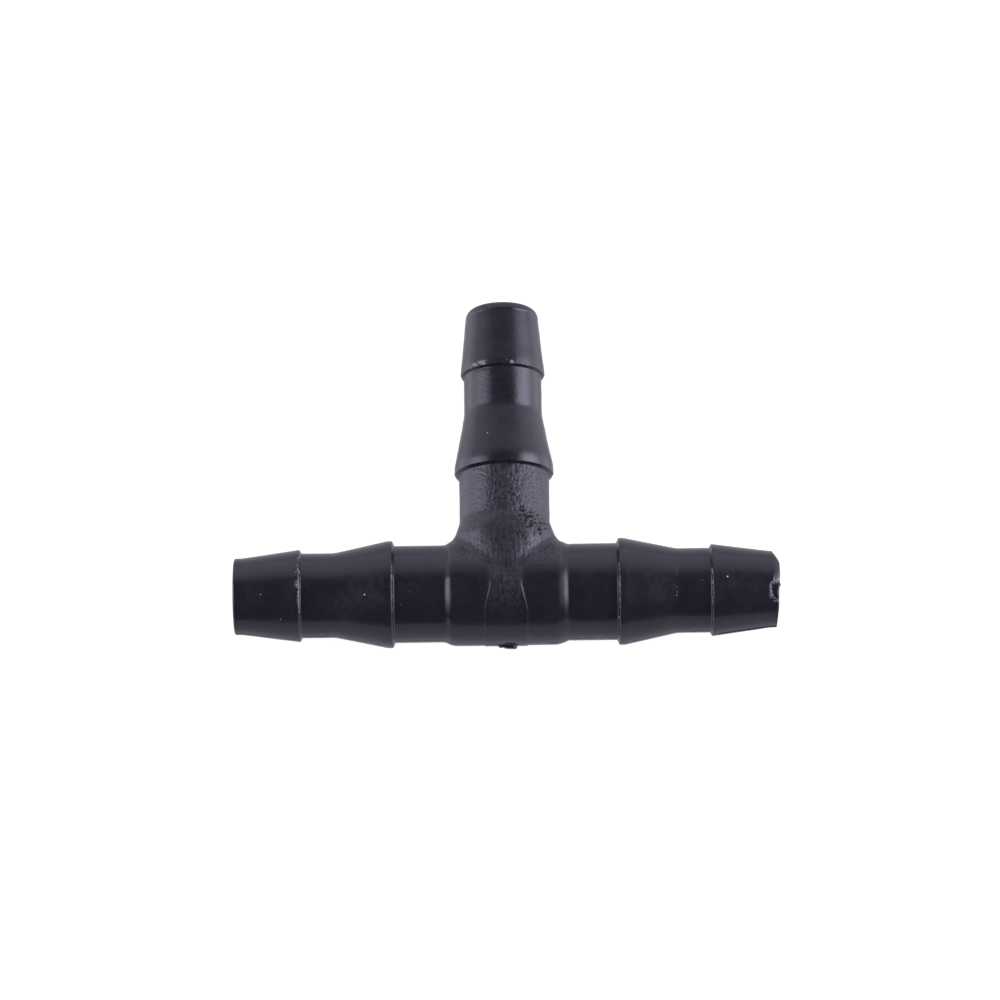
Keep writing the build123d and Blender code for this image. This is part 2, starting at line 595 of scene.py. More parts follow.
class Skin:
    """Points and four-sided faces of the moulding as they are collected."""

    def __init__(self):
        self.points, self.faces = [], []
        self.count = 0

    def add(self, points):
        first = self.count
        self.points.append(points)
        self.count += len(points)
        return np.arange(first, self.count)

    def weave(self, rows, flip):
        """Faces between rows of point numbers; each row is a closed ring."""
        for low, high in zip(rows[:-1], rows[1:]):
            corners = [low, np.roll(low, -1), np.roll(high, -1), high]
            if flip:
                corners.reverse()
            self.faces.append(np.stack(corners, axis=1))


def three_seams(surface, left, right, under):
    """Adds the three lines where the arms meet. They share their first and last points."""
    left_ids = surface.add(left)
    inner = surface.add(right[1:-1])
    right_ids = np.concatenate([left_ids[:1], inner, left_ids[-1:]])
    inner = surface.add(under[1:-1])
    under_ids = np.concatenate([left_ids[-1:], inner, left_ids[:1]])
    return left_ids, right_ids, under_ids


Seam = namedtuple("Seam", "ids along turn")  # a ring of points where an arm meets the others


def arm(surface, outline, place, hub_end, outer, inner, flip):
    """One arm from its outer seam, along its outside, round the tip and down the bore to its inner seam."""
    rows = [outer.ids]
    for share in np.linspace(0, 1, HUB_ROWS + 1)[1:]:
        along = blend(outer.along, hub_end, share)
        turn = blend(outer.turn, RING, smooth(0, 1, share))
        rows.append(surface.add(settle(place(along, turn, outline.radius(along)))))
    for along in outline.stations(hub_end)[1:]:
        rows.append(surface.add(place(along, RING, outline.radius(along))))
    for radius in np.linspace(outline.end_radius, BORE + MOUTH_CHAMFER, FACE_ROWS + 1)[1:]:
        rows.append(surface.add(place(outline.reach, RING, radius)))
    for share in np.linspace(0, 1, BORE_ROWS + 1)[:-1] ** BORE_CROWD:
        along = blend(outline.reach - MOUTH_CHAMFER, inner.along, share)
        rows.append(surface.add(place(along, inner.turn, BORE)))
    rows.append(inner.ids)
    surface.weave(rows, flip)


def plain_moulding():
    """The closed skin of the moulding before any small detail: points in millimetres and faces."""
    surface = Skin()
    left, right = seam_points(-1), seam_points(1)
    start = math.atan2(left[0][1], left[0][2])
    under_turn = blend(math.pi - start, 2 * math.pi + start, TURNS)
    under = on_run(1, 0, under_turn, HUB_RADIUS)
    outer = three_seams(surface, settle(left), settle(right), settle(under))
    reach = BORE * np.sin(TURNS * math.pi)
    inner = three_seams(
        surface,
        on_run(-1, reach, TURNS * math.pi, BORE),
        on_run(1, reach, TURNS * math.pi, BORE),
        on_run(1, 0, math.pi + TURNS * math.pi, BORE),
    )
    flat = np.zeros(HALF + 1)
    along = ring(np.abs(left[:, 0]), flat)
    turn = ring(np.arctan2(left[:, 1], left[:, 2]), under_turn)
    for side, line, inner_line in ((-1, outer[0], inner[0]), (1, outer[1], inner[1])):
        outer_seam = Seam(ring(line, outer[2]), along, turn)
        inner_seam = Seam(ring(inner_line, inner[2]), ring(reach, flat), RING)
        arm(surface, RUN, partial(on_run, side), RUN_HUB, outer_seam, inner_seam, flip=side > 0)
    along = ring(left[:, 1], left[::-1, 1])
    half_turn = np.arctan2(-left[:, 0], left[:, 2])
    outer_seam = Seam(ring(outer[0], outer[1][::-1]), along, ring(half_turn, math.pi + half_turn))
    inner_seam = Seam(ring(inner[0], inner[1][::-1]), ring(reach, reach), RING)
    arm(surface, BRANCH, on_branch, BRANCH_HUB, outer_seam, inner_seam, flip=True)
    return np.concatenate(surface.points), np.concatenate(surface.faces)


# ---- where a point is


class Places:
    """Points in millimetres, with their turns in degrees: 0 faces up, and the gate is at run turn -90."""

    def __init__(self, points):
        self.points = points
        self.x, self.y, self.z = points.T
        self.run_radius = np.hypot(self.y, self.z)
        self.branch_radius = np.hypot(self.x, self.z)
        self.run_turn = np.degrees(np.arctan2(self.y, self.z))
        self.branch_turn = np.degrees(np.arctan2(-self.x, self.z))
        self.branch = self.y > BRANCH_HUB
        self.run = np.abs(self.x) > RUN_HUB
        self.hub = ~self.branch & ~self.run

    def outer(self):
        """True on the outside of the moulding, and False in its bores."""
        radius = np.where(self.branch, self.branch_radius, self.run_radius)
        return np.where(self.hub, skin(self.points) > -HUB_RADIUS / 4, radius > WALL)

    def radial(self):
        """Directions straight out from the axis of each point's arm."""
        return np.where(
            self.branch[:, None],
            self.points * (1, 0, 1) / self.branch_radius[:, None],
            self.points * (0, 1, 1) / self.run_radius[:, None],
        )

    def bumps(self, *layers):
        """Smooth random heights: the sum of the layers, each from about -height to height."""
        total = 0
        for height, size, seed in layers:
            offset = Vector([seed * step for step in SEED_STEPS])
            heights = [noise.noise(Vector(point) / size + offset) for point in self.points.tolist()]
            total = total + height * np.array(heights)
        return total

    def run_arc(self, turn):
        """How far round the right tip's rim points are from a turn, in millimetres."""
        return np.radians(self.run_turn - turn) * RUN.end_radius

    def past_branch_crest(self, number):
        return self.y - BRANCH.crests[number]

    def past_left_crest(self, number):
        return -self.x - RUN.crests[number]


def onto_skin(points):
    """Puts points of the outside back on the plain skin."""
    at = Places(points)
    points = points.copy()
    points[at.hub] = settle(points[at.hub])
    run_scale = (RUN.radius(np.abs(at.x)) / at.run_radius)[at.run, None]
    points[at.run] *= np.where((False, True, True), run_scale, 1)
    branch_scale = (BRANCH.radius(at.y) / at.branch_radius)[at.branch, None]
    points[at.branch] *= np.where((True, False, True), branch_scale, 1)
    return points


def away_from_line(at, start, end):
    """How far points are from a line from start to end, as seen from above."""
    start, end = np.array(start), np.array(end)
    along = end - start
    offset = at.points[:, :2] - start
    share = np.clip(offset @ along / (along @ along), 0, 1)
    return np.linalg.norm(offset - share[:, None] * along, axis=1)


def pit_distance(at):
    return away_from_line(at, PIT_START, PIT_END)


def down_turn(at):
    """Degrees from the top of the lying tee, round by the gate, to its underside."""
    return (-at.run_turn + 90) % 360 - 90


def pad_half_width(at):
    return PAD_HALF + PAD_WIDER * smooth(*PAD_WIDENS, down_turn(at))


# ---- closer mesh where there is fine detail


def by_pits(at):
    return (at.z > 0) & (pit_distance(at) < PATCH_RADIUS)


def by_stub(at):
    return (at.y < BY_STUB_Y) & (np.hypot(at.x - STUB_X, at.z) < BY_STUB_RADIUS)


def by_pad_edge(at):
    off_edge = np.abs(np.abs(at.x) - pad_half_width(at))
    return (at.y < BY_PAD_EDGE_Y) & (off_edge < BY_PAD_EDGE) & at.hub


def by_right_tip(at):
    return (at.x > RUN.reach - BY_TIP) & (np.abs(at.run_turn - BY_TIP_TURN) < BY_TIP_ARC)


def by_lumps(at):
    past = at.past_branch_crest(1)
    arc = np.abs(at.branch_turn - BY_LUMPS_TURN) < BY_LUMPS_ARC
    return (at.z > 0) & (past > BY_LUMPS.start) & (past < BY_LUMPS.end) & arc


def by_torn_crest(at):
    past = at.past_left_crest(1)
    return (past > BY_TORN.start) & (past < BY_TORN.end) & (np.abs(at.run_turn) < BY_TORN_ARC)


# Each zone, with the number of cuts across its faces
ZONES = ((by_pits, 2), (by_stub, 2), (by_pad_edge, 1), (by_right_tip, 2), (by_lumps, 1), (by_torn_crest, 1))


def body_points(body):
    return np.array([vert.co for vert in body.verts])


def refine(body, zone, cuts):
    """Divides the outside's faces that lie in a zone, and puts the new points on the plain skin."""
    at = Places(np.array([face.calc_center_median() for face in body.faces]))
    chosen = zone(at) & at.outer()
    body.faces.ensure_lookup_table()
    edges = {edge for number in np.flatnonzero(chosen) for edge in body.faces[number].edges}
    edges = sorted(edges, key=lambda edge: edge.index)
    first_new = len(body.verts)
    bmesh.ops.subdivide_edges(body, edges=edges, cuts=cuts, use_grid_fill=True)
    body.verts.ensure_lookup_table()
    body.edges.index_update()
    new = np.arange(first_new, len(body.verts))
    points = body_points(body)[new]
    flat_end = (np.abs(points[:, 0]) > RUN.reach - TOUCH) | (points[:, 1] > BRANCH.reach - TOUCH)
    moved = np.where(flat_end[:, None], points, onto_skin(points))
    for number, place in zip(new, moved.tolist()):
        body.verts[number].co = place


# ---- moulding marks: heights on the skin


def wander(at):
    """Slow unevenness of a moulded wall."""
    return at.bumps(*WANDER)


def flash(at):
    """The line where the mould's halves met. It comes and goes, and is thickest under the right tip."""
    height = FLASH_HEIGHT + at.bumps(*FLASH_BUMPS)
    thick = between(*FLASH_THICK, at.x) * (at.y < 0)
    return bell(at.z, FLASH_HALF) * (height + FLASH_THICKER * thick)


def gate_pad(at):
    """The shallow step round the gate's side of the hub. It widens away from the branch."""
    inside = smooth(*PAD_EDGE, pad_half_width(at) - np.abs(at.x))
    turn = down_turn(at)
    return PAD_HEIGHT * inside * smooth(*PAD_BEGINS, turn) * smooth(*PAD_STOPS, turn)


def gate_stub(at):
    """What stayed when the gate was broken off: lower and torn on the left."""
    from_middle = np.hypot((at.x - STUB_X) / STUB_HALF_WIDE, (at.z - STUB_Z) / STUB_HALF_TALL)
    height = STUB_HEIGHT + STUB_STEP * smooth(*STUB_STEP_SPAN, at.x) + at.bumps(STUB_BUMPS)
    return height * smooth(*STUB_EDGE, from_middle + at.bumps(STUB_RAGGED)) * (at.y < -BORE)


def pits(at):
    """Small sink pits with raised rims, scattered over a patch low on the right of the branch."""
    random = np.random.default_rng(PIT_SEED)
    start, end = np.array(PIT_START), np.array(PIT_END)
    height = np.zeros(len(at.points))
    near = (at.z > 0) & (pit_distance(at) < PIT_FARTHEST)
    spot = at.points[near]
    for _ in range(PITS):
        share = random.uniform(0, 1) ** PIT_CROWD
        x, y = blend(start, end, share) + random.normal(0, PIT_SPREAD, 2)
        wide, tall = random.uniform(*PIT_RADII, 2)
        drop = random.uniform(*PIT_DROPS)
        away = np.hypot((spot[:, 0] - x) / wide, (spot[:, 1] - y) / tall)
        height[near] += drop * (PIT_RIM * bell(away - PIT_RIM_AT, PIT_RIM_HALF) - bell(away, 1))
    return np.clip(height, PIT_DEEPEST, PIT_HIGHEST)


def sharp_shoulders(at):
    """The fall from the hub to each barrel is steeper than a plain curve, most of all on the right."""
    along = np.where(at.x > 0, at.x - SHOULDER_SHIFT, -at.x)
    half = np.where(at.x > 0, SHOULDER_HALF.end, SHOULDER_HALF.start)
    step = bell(along - SHOULDER_TOP, half) - bell(along - SHOULDER_FOOT, half)
    return (SHOULDER_HEIGHT + at.bumps(SHOULDER_BUMPS)) * step * (at.branch_radius > SHOULDER_CLEAR)


def lip_line(at):
    """A fine raised line round the branch's tip, where the mould's end insert met its halves."""
    return LIP_HEIGHT * bell(at.y - BRANCH.reach + LIP_BACK, LIP_HALF) * (1 + at.bumps(LIP_BUMPS))


def full_crests(at):
    """The branch's barbs stay full a little past their crests before the cones fall away."""
    total = 0
    for number, full in enumerate(BRANCH_FULL):
        past = at.past_branch_crest(number)
        total = total + full.height * smooth(*full.rise, past) * smooth(*full.fall, past)
    return total


def torn_crest(at):
    """The left small barb's edge is ragged on top, where the mould was abraded."""
    crest = between(*TORN_SPAN, at.past_left_crest(1))
    return crest * between(*TORN_ARC, at.run_turn) * (at.bumps(TORN_BUMPS) - TORN_SUNK)


def barb_lumps(at):
    """Rough lumps along the branch's small barb."""
    crest = between(*LUMP_SPAN, at.past_branch_crest(1))
    left = between(*LUMP_LEFT, at.branch_turn)
    middle = between(*LUMP_MIDDLE, at.branch_turn)
    return crest * (left + middle) * np.maximum(at.bumps(LUMP_BUMPS), LUMP_LEAST)


MARKS = (wander, flash, gate_pad, gate_stub, pits, sharp_shoulders, lip_line, full_crests)
MARKS += (torn_crest, barb_lumps)

# ---- the right tip, cut and chipped


def cut_back(at):
    """How far the right tip's end is short of its full reach: the knife ran off at the branch's side."""
    upper = CUT_DEPTH * np.clip((at.y - CUT_START) / CUT_OVER, 0, CUT_MOST)
    return upper + CUT_LOW_DEPTH * smooth(*CUT_LOW, at.y)


def slant(at):
    """The bevel that the knife left on top of the right tip's rim."""
    length = BEVEL_LENGTH + at.bumps(BEVEL_BUMPS)
    upper = between(*BEVEL_ARC, at.run_turn) * smooth(*RIM_FADE, at.run_radius)
    return BEVEL_DEPTH * upper * np.clip(1 - (RUN.reach - at.x) / length, 0, 1)


def chip_distance(at):
    """Below 1 inside the chip."""
    plain = np.hypot((RUN.reach - at.x) / CHIP_REACH, at.run_arc(CHIP_TURN) / CHIP_HALF)
    return plain + at.bumps(*CHIP_ROUGH)


def chip_depth(at):
    rim = smooth(*RIM_FADE, at.run_radius) * (at.x > RUN.reach - CHIP_BACK)
    return CHIP_DEPTH * (1 + at.bumps(CHIP_BUMPS)) * rim * smooth(*CHIP_EDGE, chip_distance(at))


def crumb(at):
    """A crumb of plastic that hangs on the chip's edge."""
    across = bell(at.run_arc(CRUMB_TURN), CRUMB_HALF_ARC)
    return across * bell(at.x - RUN.reach, CRUMB_HALF) * bell(at.run_radius - CRUMB_RADIUS, CRUMB_HALF)


def damage_right_tip(points):
    at = Places(points)
    outwards = CRUMB_OUT * crumb(at) - chip_depth(at) - slant(at)
    moved = points + at.radial() * outwards[:, None]
    past = np.maximum(moved[:, 0] - (RUN.reach - cut_back(at)), 0)
    longer = LONGER * smooth(*LONGER_SIDE, at.y) * np.clip(at.x - RUN.reach + LONGER_OVER, 0, 1)
    moved[:, 0] += CRUMB_ALONG * crumb(at) - CUT_TAKEN * past + longer
    return moved


# ---- wear, with painted light and shade, for the material


def crest_wear_and_glints(at):
    """Scuffs along the edges of the barbs, with a painted highlight on top of the run's crests."""
    top = CREST_WORN + CREST_TOP_GLINT * between(*CREST_GLINT_ARC, at.run_turn)
    total = 0
    for crest in RUN.crests:
        total = total + top * bell(np.abs(at.x) - crest + CREST_BACK, CREST_HALF) * at.run
    for crest in BRANCH.crests:
        total = total + BRANCH_CREST_WORN * bell(at.y - crest, BRANCH_CREST_HALF) * at.branch
    return total * (1 + at.bumps(CREST_BUMPS))


def worn_chip(at):
    """The chip's pale rim, and its crumb."""
    rim = bell(chip_distance(at) - CHIP_RIM, CHIP_RIM_HALF)
    rim = rim * (at.x > RUN.reach - CHIP_RIM_BACK) * (at.run_radius > CHIP_RIM_RADIUS)
    return CHIP_RIM_WORN * rim + CRUMB_WORN * crumb(at)


def worn_lumps(at):
    """Pale scuff marks by the lumps on the branch's small barb."""
    left = SCUFF_LEFT_WORN * between(*SCUFF_LEFT, at.branch_turn)
    middle = SCUFF_MIDDLE_WORN * between(*SCUFF_MIDDLE, at.branch_turn)
    kept = SCUFF_LEAST + smooth(*SCUFF_KEEP, at.bumps(SCUFF_BUMPS))
    return (left + middle) * between(*SCUFF_SPAN, at.past_branch_crest(1)) * kept


def ragged_scuffs_and_glints(at):
    """Pale scuff marks and painted highlights, in spots on the left small barb's ragged edge."""
    crest = between(*RAGGED_SPAN, at.past_left_crest(1))
    arc = between(*RAGGED_ARC, at.run_turn)
    return RAGGED_SCUFF_AND_GLINT * crest * arc * smooth(*RAGGED_KEEP, at.bumps(RAGGED_BUMPS))


def worn_foot(at):
    return FOOT_WORN * bell(at.x - FOOT_X, FOOT_HALF) * between(*FOOT_ARC, at.run_turn)


def wear_and_glints(at):
    """How scuffed the plastic is: barb edges, the chip's rim and torn spots; with painted highlights on top
    of the run's crests and in spots on the left small barb's ragged edge.
    """
    spots = crest_wear_and_glints(at) + worn_chip(at) + worn_lumps(at) + ragged_scuffs_and_glints(at) + worn_foot(at)
    return np.clip(spots, 0, 1)


def painted_pit_shade(at):
    """How much painted shade a point gets: from how deep in a pit it is, and along the crease's line.
    Little light gets in there.
    """
    crease = bell(away_from_line(at, CREASE_START, CREASE_END), CREASE_HALF) * (at.z > 0)
    return np.clip(-pits(at) / PIT_FULL_SHADE_DEPTH + CREASE_SHADE * crease, 0, 1)


def smudged(at):
    """Faint pale smudges on the run's arms."""
    total = 0
    for smudge in SMUDGES:
        arc = np.radians(at.run_turn - smudge.turn) * at.run_radius
        total = total + bell(np.hypot(at.x - smudge.x, arc), smudge.radius)
    return total * at.run


def chalk_and_glints(at):
    """Where the plastic is pale: streaks from the collar down over the hub, smudges and the lip, and
    painted highlights along the pad's edges and on the right tip's bevel.
    """
    half = STREAKED_HALF + STREAKED_WIDER * smooth(*STREAKED_WIDENS, at.y)
    across = smooth(half + STREAKED_EDGE.start, half + STREAKED_EDGE.end, np.abs(at.x)) * smooth(0, 1, at.z)
    streaks = across * between(*STREAKED_SPAN, at.y)
    # a painted highlight along the pad's edges
    pad_glint = bell(np.abs(at.x) - pad_half_width(at), PAD_GLINT_HALF) * at.hub * (at.y < PAD_GLINT_TOP)
    pad_glint = PAD_EDGE_GLINT * pad_glint * between(*PAD_GLINT_ARC, down_turn(at))
    lip = LIP_PALE * smooth(*LIP_FADE, BRANCH.reach - at.y)
    # a painted highlight on the right tip's bevel
    bevel = smooth(*BEVEL_GLINT_DEPTHS, slant(at))
    return np.clip(streaks + lip + pad_glint + bevel + SMUDGE_PALE * smudged(at), 0, 1)


def matt(at):
    """The dull dome on top of the collar, which doesn't mirror the light at its sides, and the bores."""
    arc = DOME_ARC * np.sqrt(np.clip((DOME_TOP - at.y) / DOME_LENGTH, 0, 1))
    turn = np.abs(at.branch_turn) + at.bumps(DOME_BUMPS)
    dome = smooth(arc + DOME_EDGE, arc - DOME_EDGE, turn) * smooth(*DOME_RISE, at.y) * (arc > 0)
    return np.maximum(DOME_DULL * dome, ~at.outer())


def grainy(at):
    """How coarse the surface is: coarsest on the branch's barrel, and less so down to the hub."""
    large_crest = BRANCH.crests[0]
    barrel = smooth(*BARREL_SPAN, at.y) * smooth(large_crest, large_crest - BARREL_STOP, at.y)
    right = smooth(*BARREL_ACROSS, at.x)
    barrel = barrel * (at.branch_radius < BARREL_CLEAR) * (BARREL_LEFT + (1 - BARREL_LEFT) * right)
    collar = COLLAR_COARSE * between(*COLLAR_SPAN, at.y) * (np.abs(at.x) < COLLAR_CLEAR)
    hub = HUB_COARSE * between(*HUB_SPAN, at.y) * smooth(*HUB_ACROSS, np.abs(at.x)) * (at.z > 0)
    patch = smooth(PATCH_RADIUS, PIT_SPREAD, pit_distance(at)) * (at.z > 0)
    upper = UPPER_COARSE * smooth(large_crest, large_crest + UPPER_OVER, at.y)
    stub = np.hypot(at.x - STUB_X, at.z - STUB_Z) < STUB_COARSE_RADIUS
    stub = 1.0 * (stub & (at.y < -HUB_RADIUS))
    bore = BORE_COARSE * ~at.outer()
    return np.clip(np.max([barrel, collar, hub, patch, upper, stub, bore], axis=0), 0, 1)


WEAR_AND_PAINTED_LIGHT = (wear_and_glints, painted_pit_shade, chalk_and_glints, matt, grainy)  # each is kept in the mesh under its function's name

# ---- the moulding


def divided_body():
    """The plain moulding as a bmesh, divided more closely where there is fine detail."""
    points, faces = plain_moulding()
    draft = bpy.data.meshes.new("draft")
    draft.from_pydata(points.tolist(), [], faces.tolist())
    body = bmesh.new()
    body.from_mesh(draft)
    bpy.data.meshes.remove(draft)
    for zone, cuts in ZONES:
        refine(body, zone, cuts)
    body.normal_update()
    return body


def shaped(points, normals):
    """The points with every mark of the mould and the damage at the right tip."""
    at = Places(points)
    facing = np.clip((normals * at.radial()).sum(axis=1), 0, 1)
    outside = np.where(at.hub, 1, facing) * at.outer()
    height = sum(mark(at) for mark in MARKS) * outside
    return damage_right_tip(points + normals * height[:, None])


def tee_moulding():
    body = divided_body()
    points = body_points(body)
    normals = np.array([vert.normal for vert in body.verts])
    for vert, place in zip(body.verts, (shaped(points, normals) * MM).tolist()):
        vert.co = place
    mesh = bpy.data.meshes.new("tee_moulding")
    body.to_mesh(mesh)
    body.free()
    at = Places(points)
    for measure in WEAR_AND_PAINTED_LIGHT:
        attribute = mesh.attributes.new(measure.__name__, "FLOAT", "POINT")
        attribute.data.foreach_set("value", measure(at).astype(np.float32))
    mesh.polygons.foreach_set("use_smooth", [True] * len(mesh.polygons))
    mesh.update()
    tee = bpy.data.objects.new("tee_moulding", mesh)
    bpy.context.scene.collection.objects.link(tee)
    return tee


# ---- shader nodes, in short


class Wiring:
    """Adds nodes to a shader tree. A value may be a number, a tuple or another node's output."""

    def __init__(self, tree):
        self.tree = tree

    def feed(self, socket, value):
        if isinstance(value, bpy.types.NodeSocket):
            self.tree.links.new(value, socket)
        else:
            socket.default_value = value

    def node(self, kind, inputs, **settings):
        made = self.tree.nodes.new("ShaderNode" + kind)
        for name, value in settings.items():
            setattr(made, name, value)
        for name, value in inputs.items():
            self.feed(made.inputs[name], value)
        return made

    def math(self, operation, *values):
        return self.node("Math", dict(enumerate(values)), operation=operation).outputs[0]

    def chain(self, operation, values):
        result = values[0]
        for value in values[1:]:
            result = self.math(operation, result, value)
        return result

    def total(self, *values):
        return self.chain("ADD", values)

    def product(self, *values):
        return self.chain("MULTIPLY", values)

    def ramp(self, value, start, end, low=0.0, high=1.0):
        """low up to start, high past end, and smooth in between."""
        inputs = {"Value": value, "From Min": start, "From Max": end, "To Min": low, "To Max": high}
        return self.node("MapRange", inputs, interpolation_type="SMOOTHSTEP").outputs[0]

    def scaled(self, vector, scale):
        return self.node("VectorMath", {0: vector, 1: scale}, operation="MULTIPLY").outputs[0]

    def split(self, vector):
        return self.node("SeparateXYZ", {0: vector}).outputs

    def bumps(self, place, size, detail=2.0, stretch=(1, 1, 1)):
        """Smooth random heights from 0 to 1. stretch is how many times longer than size they are."""
        scale = [1 / (size * MM * long) for long in stretch]
        inputs = {"Vector": self.scaled(place, scale), "Scale": 1.0, "Detail": detail}
        return self.node("TexNoise", inputs).outputs["Fac"]

    def amount(self, name):
        """What the mesh keeps under this name."""
        return self.node("Attribute", {}, attribute_name=name).outputs["Fac"]

    def mix(self, share, first, second):
        inputs = {"Factor": share, 6: first, 7: second}
        return self.node("Mix", inputs, data_type="RGBA").outputs[2]


# ---- black plastic


def dust_mask(wiring, place):
    """Specks of dust that stand out, and a thin scatter of tiny ones."""
    cell = wiring.node("TexVoronoi", {"Vector": wiring.scaled(place, [1 / MM] * 3), "Scale": DUST_CELLS})
    kept = wiring.ramp(wiring.bumps(place, DUST_PATCH), *DUST_KEEP)
    mask = wiring.product(wiring.ramp(cell.outputs["Distance"], *DUST_CELL_EDGE), kept, DUST_FAINT)
    for spot, radius in DUST_SPECKS:
        inputs = {0: place, 1: [value * MM for value in spot]}
        away = wiring.node("VectorMath", inputs, operation="DISTANCE").outputs["Value"]
        speck = wiring.ramp(away, radius * MM, 0.5 * radius * MM)
        mask = wiring.math("MAXIMUM", mask, speck)
    return mask


def plastic_parts(wiring):
    """What the plastic's colour, roughness and relief share: random bumps and the mesh's amounts."""
    place = wiring.node("TexCoord", {}).outputs["Object"]
    parts = SimpleNamespace(
        coarse=wiring.amount("grainy"),
        pit_shade_share=wiring.amount("painted_pit_shade"),
        dull=wiring.amount("matt"),
        broad=wiring.bumps(place, BROAD, DETAILED),
        cloudy=wiring.bumps(place, CLOUDY, DETAILED),
        grain=wiring.bumps(place, GRAIN, DETAILED),
        streaks=wiring.bumps(place, STREAK, stretch=(1, STREAK_LONG, 1)),
        fine=wiring.bumps(place, FINE),
        dust=dust_mask(wiring, place),
    )
    # scuff marks, with painted highlights among them
    amount = wiring.amount("wear_and_glints")
    fine = wiring.product(parts.fine, SCUFFED_FINE)
    cloudy = wiring.product(parts.cloudy, SCUFFED_CLOUDY)
    spots = wiring.ramp(wiring.total(amount, fine, cloudy), *SCUFFED_SPOTS)
    parts.scuffs = wiring.product(spots, wiring.ramp(amount, *SCUFFED_WORN))
    return parts


def plastic_colour(wiring, parts):
    clouds = wiring.total(parts.broad, wiring.product(parts.cloudy, CLOUDY_SHARE))
    colour = wiring.mix(wiring.ramp(clouds, *PATCHY), PLASTIC, PALE_PLASTIC)
    flecks = wiring.total(parts.grain, wiring.product(parts.streaks, STREAK_SHARE))
    colour = wiring.mix(wiring.product(parts.coarse, wiring.ramp(flecks, *FLECKED)), colour, GRAIN_PALE)
    streaks = wiring.product(parts.streaks, STREAK_SHARE)
    streaked = wiring.total(streaks, wiring.product(parts.cloudy, CLOUDY_SHARE))
    # pale streaks, smudges and lip, with painted highlights along the pad's edges and on the right tip's
    # bevel
    chalk_and_glint = wiring.product(wiring.amount("chalk_and_glints"), wiring.ramp(streaked, *CHALKED, CHALKED_LEAST, 1.0))
    colour = wiring.mix(chalk_and_glint, colour, CHALK_AND_GLINT)
    # painted shade in the pits and along the crease
    colour = wiring.mix(parts.pit_shade_share, colour, PIT_SHADE_COLOUR)
    # scuff marks, with painted highlights on the run's crest tops and along the left small barb's ragged
    # edge
    colour = wiring.mix(parts.scuffs, colour, SCUFF_AND_GLINT)
    return wiring.mix(parts.dust, colour, DUST)


def plastic_roughness(wiring, parts):
    return wiring.total(
        wiring.ramp(parts.broad, *MIDDLING, *ROUGH),
        wiring.ramp(parts.cloudy, *MIDDLING, *ROUGH_CLOUDY),
        wiring.product(parts.coarse, wiring.ramp(parts.grain, *MIDDLING, *ROUGH_GRAIN)),
        wiring.product(parts.dull, ROUGH_DULL),
        wiring.product(parts.scuffs, ROUGH_SCUFF),
        wiring.product(parts.dust, ROUGH_DUST),
    )


def plastic_relief(wiring, parts):
    """Fine bumps, as a normal. Their heights are in millimetres."""
    grain = wiring.product(parts.grain, GRAIN_HEIGHT)
    streaks = wiring.product(parts.streaks, STREAK_HEIGHT)
    height = wiring.total(
        wiring.product(parts.fine, FINE_HEIGHT),
        wiring.product(parts.cloudy, CLOUDY_HEIGHT),
        wiring.product(parts.coarse, wiring.total(grain, streaks)),
        wiring.product(parts.scuffs, parts.fine, SCUFF_HEIGHT),
        wiring.product(parts.dust, DUST_HEIGHT),
    )
    return wiring.node("Bump", {"Strength": 1.0, "Distance": MM, "Height": height}).outputs[0]


def black_plastic():
    """Moulded polypropylene: near black, satin, with a fine skin, coarse places and scuff marks, with
    painted shade in its pits and painted highlights on some edges.
    """
    material = bpy.data.materials.new("black_plastic")
    material.use_nodes = True
    wiring = Wiring(material.node_tree)
    surface = material.node_tree.nodes["Principled BSDF"].inputs
    parts = plastic_parts(wiring)
    wiring.feed(surface["Base Color"], plastic_colour(wiring, parts))
    wiring.feed(surface["Roughness"], plastic_roughness(wiring, parts))
    wiring.feed(surface["Normal"], plastic_relief(wiring, parts))
    wiring.feed(surface["IOR"], REFRACTION)
    mirror = wiring.product(
        wiring.ramp(parts.pit_shade_share, 0.0, 1.0, MIRROR_PLAIN, MIRROR_PIT),
        wiring.ramp(parts.dull, 0.0, 1.0, 1.0, MIRROR_DULL),
    )
    wiring.feed(surface["Specular IOR Level"], mirror)
    wiring.feed(surface["Specular Tint"], SHEEN)
    return material


# ---- floor, studio light and camera


def floor_material():
    """A pale light table, so that the tee's shadow stays faint."""
    material = bpy.data.materials.new("pale_floor")
    material.use_nodes = True
    wiring = Wiring(material.node_tree)
    surface = material.node_tree.nodes["Principled BSDF"].inputs
    wiring.feed(surface["Base Color"], FLOOR_WHITE)
    wiring.feed(surface["Roughness"], 1.0)
    wiring.feed(surface["Specular IOR Level"], 0.0)
    back_x, back_y, _ = wiring.split(wiring.node("NewGeometry", {}).outputs["Incoming"])
    sideways = wiring.ramp(wiring.math("ABSOLUTE", back_x), *FLOOR_SIDES_FADE)
    forwards = wiring.ramp(back_y, *FLOOR_FRONT_FADE, 1.0, FLOOR_FRONT)
    reflected = wiring.total(FLOOR_GLOSS, wiring.product(sideways, forwards, FLOOR_SIDES))
    seen = wiring.node("LightPath", {}).outputs["Is Camera Ray"]
    unseen = wiring.math("SUBTRACT", 1.0, seen)
    glow = wiring.total(wiring.product(seen, FLOOR_SEEN), wiring.product(unseen, reflected))
    wiring.feed(surface["Emission Strength"], glow)
    wiring.feed(surface["Emission Color"], wiring.mix(seen, COOL + (1,), WHITE))
    return material


def lay_floor():
    """The floor lies under whichever reaches lower, the moulding or its CAD solid."""
    lowest = min(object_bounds()[0][2], cad_box[0][2])
    bpy.ops.mesh.primitive_plane_add(size=2 * FLOOR_HALF, location=(0, 0, lowest))
    floor = bpy.context.object
    floor.name = "floor"
    floor.data.materials.append(floor_material())


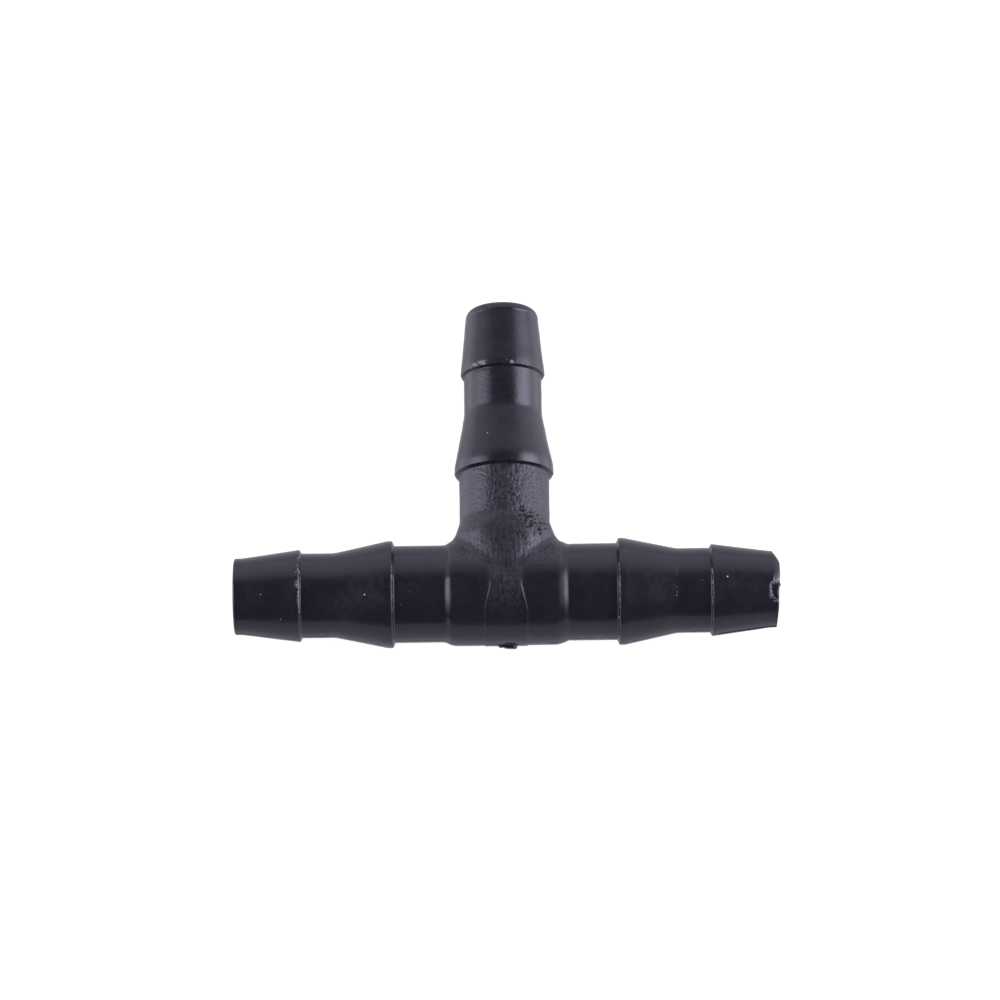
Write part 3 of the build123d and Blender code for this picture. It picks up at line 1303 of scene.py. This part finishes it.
def studio():
    """A tent with a dark roof, a pale far wall and a soft box at each side, all with soft edges."""
    world = bpy.data.worlds.new("studio")
    world.use_nodes = True
    wiring = Wiring(world.node_tree)
    x, y, z = wiring.split(wiring.node("TexCoord", {}).outputs["Generated"])
    far = wiring.ramp(wiring.math("ARCTAN2", y, z), *BEHIND_FADE)
    tilt = wiring.math("ARCTAN2", wiring.math("ABSOLUTE", x), z)
    to_left, to_right = wiring.ramp(x, BOX_MIDDLE, -BOX_MIDDLE), wiring.ramp(x, -BOX_MIDDLE, BOX_MIDDLE)
    left = wiring.product(wiring.ramp(y, *LEFT_BOX_END), to_left, LEFT_BOX)
    right = wiring.product(wiring.ramp(y, *RIGHT_BOX_END), to_right, RIGHT_BOX)
    top = wiring.product(wiring.ramp(y, *BOX_NEAR_END), wiring.ramp(tilt, *BOX_TOP))
    fading = wiring.product(top, wiring.ramp(tilt, *BOX_FOOT, 1.0, BOX_FOOT_LIGHT))
    boxes = wiring.product(fading, wiring.total(left, right))
    background = world.node_tree.nodes["Background"].inputs
    wiring.feed(background["Color"], COOL + (1,))
    wiring.feed(background["Strength"], wiring.total(ABOVE, wiring.product(far, BEHIND), boxes))
    return world


def place_camera():
    """Looks down steeply from the gate's side."""
    back = Vector((0, -math.cos(ELEVATION), math.sin(ELEVATION)))
    up = Vector((0, math.sin(ELEVATION), math.cos(ELEVATION)))
    right = Vector((1, 0, 0))
    rolled_right = right * math.cos(ROLL) - up * math.sin(ROLL)
    rolled_up = up * math.cos(ROLL) + right * math.sin(ROLL)
    aim = rolled_up * AIM_UP - rolled_right * AIM_LEFT
    turn = Matrix((rolled_right, rolled_up, back)).transposed().to_4x4()
    lens = bpy.data.cameras.new("camera")
    lens.angle = FIELD
    lens.clip_start = NEAR_CLIP
    camera = bpy.data.objects.new("camera", lens)
    camera.matrix_world = Matrix.Translation(aim + back * DISTANCE) @ turn
    bpy.context.scene.collection.objects.link(camera)
    bpy.context.scene.camera = camera


tee = tee_moulding()
tee.data.materials.append(black_plastic())
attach(tee, BODY)
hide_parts(NODE)
lay_floor()
bpy.context.scene.world = studio()
bpy.context.scene.view_settings.view_transform = "Standard"
place_camera()
